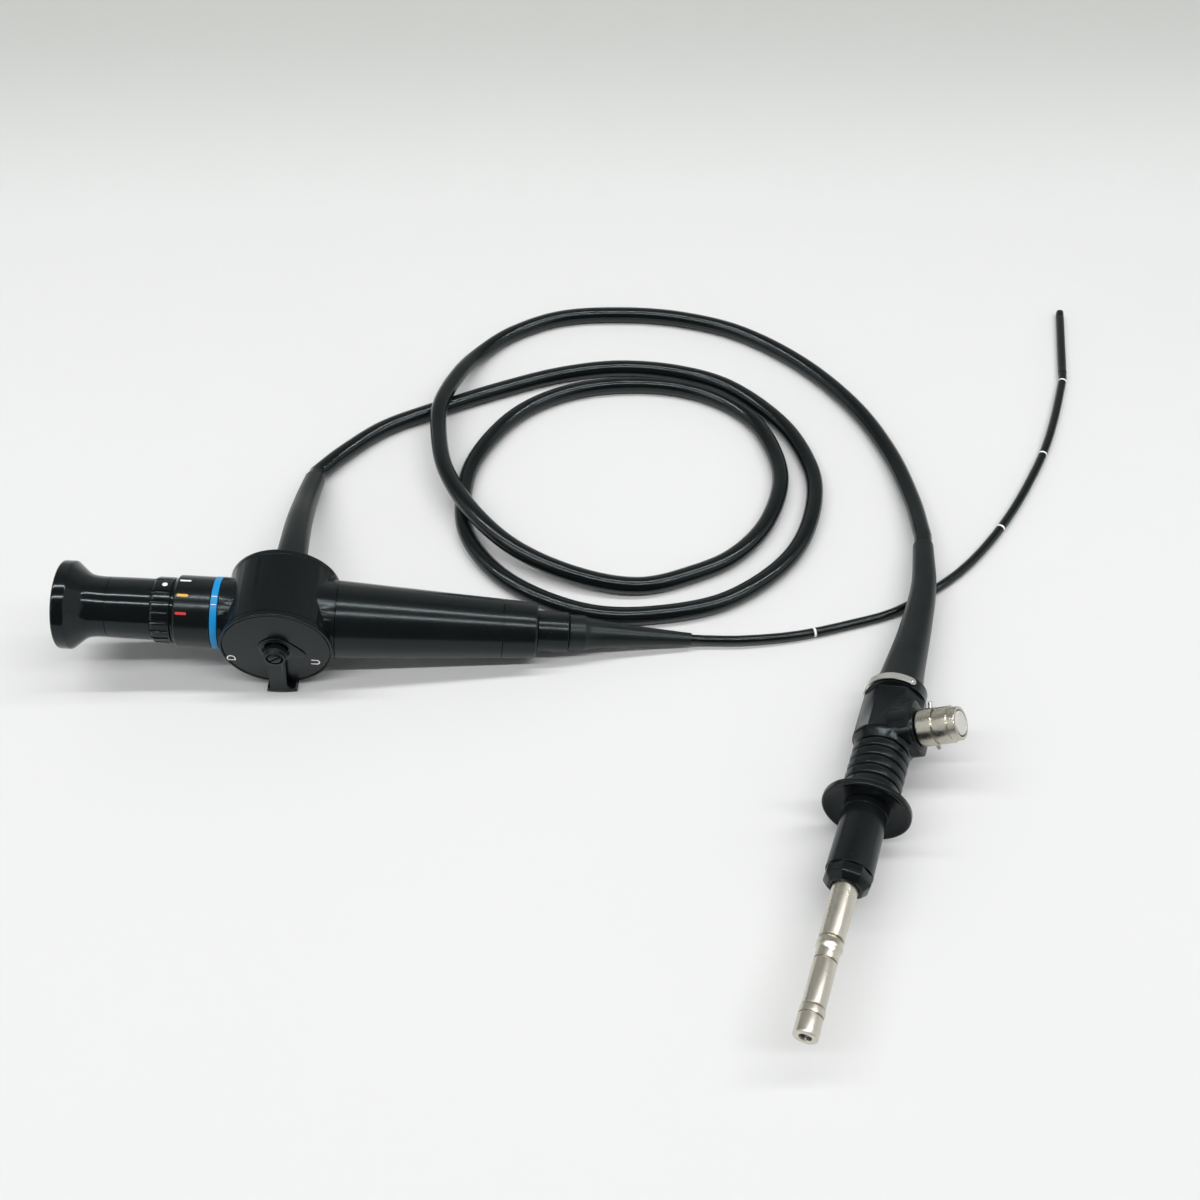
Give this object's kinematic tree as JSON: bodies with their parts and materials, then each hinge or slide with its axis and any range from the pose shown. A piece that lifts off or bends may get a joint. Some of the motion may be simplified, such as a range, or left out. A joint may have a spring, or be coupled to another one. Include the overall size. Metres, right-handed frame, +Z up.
{
  "type": "flexible endoscope",
  "caption": "Flexible fibre endoscope: eyepiece with focus ring, thumb lever that bends the tip, thin insertion tube, light guide cord and light source connector with vent.",
  "frame": {"origin": "on the table, under the middle of the control body (eyecup to insertion boot)", "axes": "+X from the eyepiece to the insertion tube, +Y towards the coiled light guide cord, +Z up"},
  "size_m": [0.4187, 0.3599, 0.0478],
  "materials": {
    "satin_black": "satin",
    "gloss_black": "gloss",
    "blue_ring": "satin",
    "rubber": "matte",
    "cord_skin": "fine grain",
    "nickel": "polished nickel plate",
    "steel": "turned",
    "brass": "turned",
    "glass": "polished",
    "white_nylon": "satin",
    "fibre": "sheathed fibre bundle"
  },
  "bodies": {
    "control_body": {"housing": "satin_black", "lever_side_cover": "satin_black", "cord_side_cover": "satin_black", "blue_ring": "blue_ring", "index_ring": "satin_black", "eyepiece_barrel": "satin_black", "eyecup": "gloss_black", "eyepiece_window": "glass", "grip_shell": "satin_black", "grip_end_ring": "satin_black", "boot_collar": "satin_black", "insertion_boot": "rubber", "shaft_bush": "brass", "coil_stay": "satin_black", "image_bundle": "fibre", "light_bundle": "fibre", "boot_nut": "satin_black", "light_guide_boot": "rubber", "light_guide_cord": "cord_skin", "insertion_tube": "cord_skin", "tube_ferrule": "steel", "connector_boot": "rubber", "connector_body": "satin_black", "id_band": "steel", "band_rivet": "nickel", "band_screw": "nickel", "vent_connector": "nickel", "vent_pin_upper": "nickel", "vent_pin_lower": "nickel", "ribbed_grip": "satin_black", "grip_flange": "satin_black", "pin_sleeve": "satin_black", "sleeve_collar": "satin_black", "light_guide_pin": "nickel", "pin_ferrule": "nickel", "light_guide_glass": "glass"},
    "diopter": {"diopter_ring": "satin_black"},
    "focus_cell": {"lens_cell": "nickel", "ocular_lens": "glass"},
    "lever": {"angulation_lever": "satin_black", "lever_screw": "steel", "lever_shaft": "steel", "wire_pulley": "brass"},
    "up_wire": {"up_wire_rod": "steel"},
    "down_wire": {"down_wire_rod": "steel"},
    "vent_valve": {"vent_disc": "white_nylon"},
    "link_1": {"bending_link_1": "steel"},
    "link_2": {"bending_link_2": "steel"},
    "link_3": {"bending_link_3": "steel"},
    "link_4": {"bending_link_4": "steel"},
    "link_5": {"bending_link_5": "steel"},
    "link_6": {"bending_link_6": "steel"},
    "link_7": {"bending_link_7": "steel"},
    "link_8": {"bending_link_8": "steel"},
    "tip": {"distal_tip": "satin_black", "objective_lens": "glass", "light_lens": "glass"}
  },
  "joints": [
    {"name": "lever_swing", "type": "hinge", "parent": "control_body", "child": "lever", "pos_m": [-0.03633, 0.0011, 0.0226], "axis": [0, 1, 0], "range_deg": [-45, 45]},
    {"name": "up_wire_slide", "type": "slide", "parent": "control_body", "child": "up_wire", "axis": [0.9923, 0, -0.1236], "range_m": [-0.0041, 0.0041]},
    {"name": "down_wire_slide", "type": "slide", "parent": "control_body", "child": "down_wire", "axis": [0.9923, 0, -0.1236], "range_m": [-0.0041, 0.0041]},
    {"name": "diopter_turn", "type": "hinge", "parent": "control_body", "child": "diopter", "pos_m": [-0.03633, 0.0011, 0.0226], "axis": [0.9923, 0, -0.1236], "range_deg": [-60, 60]},
    {"name": "focus_slide", "type": "slide", "parent": "control_body", "child": "focus_cell", "axis": [0.9923, 0, -0.1236], "range_m": [-0.0016, 0.0016]},
    {"name": "vent_press", "type": "slide", "parent": "control_body", "child": "vent_valve", "axis": [-0.7673, 0.2597, -0.5864], "range_m": [0, 0.0012], "stiffness_N_per_m": 150},
    {"name": "bend_1", "type": "hinge", "parent": "control_body", "child": "link_1", "pos_m": [0.29407, 0.1539, 0.0018], "axis": [0, 0, 1], "range_deg": [-14.5, 14.5]},
    {"name": "bend_2", "type": "hinge", "parent": "link_1", "child": "link_2", "pos_m": [0.29494, 0.15781, 0.0018], "axis": [0, 0, 1], "range_deg": [-14.5, 14.5]},
    {"name": "bend_3", "type": "hinge", "parent": "link_2", "child": "link_3", "pos_m": [0.2958, 0.16171, 0.0018], "axis": [0, 0, 1], "range_deg": [-14.5, 14.5]},
    {"name": "bend_4", "type": "hinge", "parent": "link_3", "child": "link_4", "pos_m": [0.29667, 0.16562, 0.0018], "axis": [0, 0, 1], "range_deg": [-14.5, 14.5]},
    {"name": "bend_5", "type": "hinge", "parent": "link_4", "child": "link_5", "pos_m": [0.29753, 0.16952, 0.0018], "axis": [0, 0, 1], "range_deg": [-14.5, 14.5]},
    {"name": "bend_6", "type": "hinge", "parent": "link_5", "child": "link_6", "pos_m": [0.2984, 0.17343, 0.0018], "axis": [0, 0, 1], "range_deg": [-14.5, 14.5]},
    {"name": "bend_7", "type": "hinge", "parent": "link_6", "child": "link_7", "pos_m": [0.29926, 0.17733, 0.0018], "axis": [0, 0, 1], "range_deg": [-14.5, 14.5]},
    {"name": "bend_8", "type": "hinge", "parent": "link_7", "child": "link_8", "pos_m": [0.30013, 0.18124, 0.0018], "axis": [0, 0, 1], "range_deg": [-14.5, 14.5]},
    {"name": "bend_9", "type": "hinge", "parent": "link_8", "child": "tip", "pos_m": [0.301, 0.18514, 0.0018], "axis": [0, 0, 1], "range_deg": [-14.5, 14.5]}
  ],
  "couplings": [
    {"joint": "up_wire_slide", "follows": "lever_swing", "m_per_rad": 0.005},
    {"joint": "down_wire_slide", "follows": "lever_swing", "m_per_rad": -0.005},
    {"joint": "focus_slide", "follows": "diopter_turn", "m_per_rad": 0.0015},
    {"joint": "bend_1", "follows": "lever_swing", "ratio": 0.32},
    {"joint": "bend_2", "follows": "lever_swing", "ratio": 0.32},
    {"joint": "bend_3", "follows": "lever_swing", "ratio": 0.32},
    {"joint": "bend_4", "follows": "lever_swing", "ratio": 0.32},
    {"joint": "bend_5", "follows": "lever_swing", "ratio": 0.32},
    {"joint": "bend_6", "follows": "lever_swing", "ratio": 0.32},
    {"joint": "bend_7", "follows": "lever_swing", "ratio": 0.32},
    {"joint": "bend_8", "follows": "lever_swing", "ratio": 0.32},
    {"joint": "bend_9", "follows": "lever_swing", "ratio": 0.32}
  ]
}
